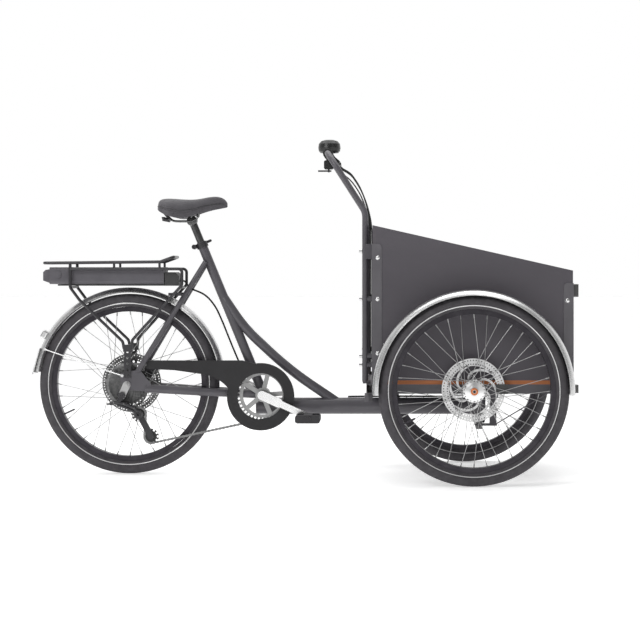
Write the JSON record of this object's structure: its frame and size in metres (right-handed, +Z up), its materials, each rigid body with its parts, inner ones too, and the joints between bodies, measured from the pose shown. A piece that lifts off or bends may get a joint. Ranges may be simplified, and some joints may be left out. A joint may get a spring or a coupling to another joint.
{
  "type": "cargo bicycle",
  "caption": "Electric cargo trike: two front wheels beside an open plywood box that steers with its push bar on a kingpin, rear frame with saddle, rack battery and derailleur drive.",
  "frame": {"origin": "bottom centre of the whole trike, on the ground it stands on", "axes": "+X forwards, from the rear wheel to the box; +Y to the rider's left; +Z up"},
  "size_m": [1.814, 0.868, 1.13],
  "materials": {
    "frame_paint": "satin powder coat",
    "rack_paint": "satin black powder coat",
    "bearing_steel": "blackened, ground",
    "axle_steel": "zinc plated",
    "tyre_rubber": "matt with a pale reflective band",
    "rim_anodised": "dark anodised",
    "spoke_steel": "drawn stainless",
    "hub_alloy": "polished",
    "rotor_steel": "ground",
    "chain_steel": "oiled",
    "chainring_grey": "grey anodised",
    "crank_alloy": "polished",
    "pedal_resin": "moulded",
    "derailleur_black": "semi-gloss black",
    "jockey_resin": "moulded",
    "guard_plastic": "moulded, fine grain",
    "post_alloy": "dark anodised",
    "saddle_vinyl": "grained vinyl, stitched",
    "fender_alloy": "brushed",
    "battery_shell": "moulded",
    "dock_plastic": "moulded",
    "panel_ply": "phenolic film on plywood",
    "floor_ply": "oiled plywood edge",
    "angle_steel": "powder coat",
    "bolt_chrome": "polished",
    "grip_rubber": "ribbed",
    "control_plastic": "moulded",
    "lever_alloy": "satin black",
    "caliper_alloy": "cast, bead blasted",
    "lamp_lens": "tinted housing",
    "cable_jacket": "smooth"
  },
  "bodies": {
    "frame": {"main_tube": "frame_paint", "bearings": "bearing_steel", "seat_tube": "frame_paint", "down_tube": "frame_paint", "rear_stays": "frame_paint", "seat_clamp": "derailleur_black", "rear_fender": "fender_alloy", "rack": "rack_paint", "battery_dock": "dock_plastic", "chain_guard": "guard_plastic", "chain": "chain_steel", "rear_axle": "axle_steel", "derailleur_body": "derailleur_black", "rear_caliper": "derailleur_black", "rear_cables": "cable_jacket"},
    "steered_front": {"front_frame": "frame_paint", "kingpin": "bearing_steel", "front_axles": "axle_steel", "box_sides": "panel_ply", "box_ends": "panel_ply", "box_floor": "floor_ply", "corner_angles": "angle_steel", "push_bar": "frame_paint", "fasteners": "bolt_chrome", "grips": "grip_rubber", "handlebar_controls": "control_plastic", "front_fenders": "fender_alloy", "front_calipers": "caliper_alloy", "front_lamps": "lamp_lens", "front_cables": "cable_jacket"},
    "right_wheel": {"right_tyre": "tyre_rubber", "right_rim": "rim_anodised", "right_spokes": "spoke_steel", "right_hub": "hub_alloy", "right_rotor": "rotor_steel"},
    "left_wheel": {"left_tyre": "tyre_rubber", "left_rim": "rim_anodised", "left_spokes": "spoke_steel", "left_hub": "hub_alloy", "left_rotor": "rotor_steel"},
    "rear_wheel": {"rear_tyre": "tyre_rubber", "rear_rim": "rim_anodised", "rear_spokes": "spoke_steel", "rear_hub": "hub_alloy", "rear_rotor": "rotor_steel"},
    "crankset": {"chainring": "chainring_grey", "crank_arms": "crank_alloy"},
    "right_pedal": {"pedal_right": "pedal_resin"},
    "left_pedal": {"pedal_left": "pedal_resin"},
    "sprockets": {"cassette": "chain_steel"},
    "cage": {"derailleur_cage": "derailleur_black"},
    "upper_jockey": {"guide_pulley": "jockey_resin"},
    "lower_jockey": {"tension_pulley": "jockey_resin"},
    "seat": {"seat_post": "post_alloy", "saddle": "saddle_vinyl"},
    "clamp_lever": {"seat_clamp_lever": "derailleur_black"},
    "battery_pack": {"battery": "battery_shell"},
    "right_brake_lever": {"brake_lever_right": "lever_alloy"},
    "left_brake_lever": {"brake_lever_left": "lever_alloy"},
    "gear_lever": {"shifter": "control_plastic"}
  },
  "joints": [
    {"name": "steer", "type": "hinge", "parent": "frame", "child": "steered_front", "pos_m": [0.601, 0, 0.2283], "axis": [0, 0, 1], "range_deg": [-30, 30]},
    {"name": "right_wheel_spin", "type": "hinge", "parent": "steered_front", "child": "right_wheel", "pos_m": [0.567, -0.39, 0.3035], "axis": [0, 1, 0], "continuous": true},
    {"name": "left_wheel_spin", "type": "hinge", "parent": "steered_front", "child": "left_wheel", "pos_m": [0.567, 0.39, 0.3035], "axis": [0, 1, 0], "continuous": true},
    {"name": "rear_wheel_spin", "type": "hinge", "parent": "frame", "child": "rear_wheel", "pos_m": [-0.58, 0, 0.3035], "axis": [0, 1, 0], "continuous": true},
    {"name": "crank_spin", "type": "hinge", "parent": "frame", "child": "crankset", "pos_m": [-0.128, 0, 0.268], "axis": [0, 1, 0], "continuous": true},
    {"name": "right_pedal_spin", "type": "hinge", "parent": "crankset", "child": "right_pedal", "pos_m": [0.02859, -0.12, 0.19565], "axis": [0, 1, 0], "continuous": true},
    {"name": "left_pedal_spin", "type": "hinge", "parent": "crankset", "child": "left_pedal", "pos_m": [-0.28459, 0.12, 0.34036], "axis": [0, 1, 0], "continuous": true},
    {"name": "cassette_spin", "type": "hinge", "parent": "frame", "child": "sprockets", "pos_m": [-0.58, -0.05, 0.3035], "axis": [0, 1, 0], "continuous": true},
    {"name": "cage_swing", "type": "hinge", "parent": "frame", "child": "cage", "pos_m": [-0.543, -0.04, 0.203], "axis": [0, 1, 0], "range_deg": [-9, 10], "stiffness_Nm_per_rad": 1.5},
    {"name": "guide_pulley_spin", "type": "hinge", "parent": "cage", "child": "upper_jockey", "pos_m": [-0.543, -0.04, 0.203], "axis": [0, 1, 0], "continuous": true},
    {"name": "tension_pulley_spin", "type": "hinge", "parent": "cage", "child": "lower_jockey", "pos_m": [-0.503, -0.04, 0.128], "axis": [0, 1, 0], "continuous": true},
    {"name": "seat_height", "type": "slide", "parent": "frame", "child": "seat", "axis": [-0.3811, 0, 0.9245], "range_m": [-0.04, 0.07]},
    {"name": "clamp_lever_swing", "type": "hinge", "parent": "frame", "child": "clamp_lever", "pos_m": [-0.36151, 0.024, 0.76533], "axis": [-0.3896, 0, 0.921], "range_deg": [0, 120]},
    {"name": "battery_slide", "type": "slide", "parent": "frame", "child": "battery_pack", "axis": [-1, 0, 0], "range_m": [0, 0.38]},
    {"name": "right_brake_pull", "type": "hinge", "parent": "steered_front", "child": "right_brake_lever", "pos_m": [0.124, -0.065, 1.046], "axis": [-0.6508, 0, -0.7593], "range_deg": [0, 13], "stiffness_Nm_per_rad": 3, "springref_deg": -5.73},
    {"name": "left_brake_pull", "type": "hinge", "parent": "steered_front", "child": "left_brake_lever", "pos_m": [0.124, 0.065, 1.046], "axis": [0.6508, 0, 0.7593], "range_deg": [0, 13], "stiffness_Nm_per_rad": 3, "springref_deg": -5.73},
    {"name": "gear_lever_push", "type": "hinge", "parent": "steered_front", "child": "gear_lever", "pos_m": [0.094, -0.029, 1.028], "axis": [0, 0, 1], "range_deg": [0, 35], "stiffness_Nm_per_rad": 0.5, "springref_deg": -5.73}
  ],
  "couplings": [
    {"joint": "cassette_spin", "follows": "crank_spin", "ratio": 1.1765},
    {"joint": "guide_pulley_spin", "follows": "crank_spin", "ratio": -3.6364},
    {"joint": "tension_pulley_spin", "follows": "crank_spin", "ratio": 3.6364}
  ]
}
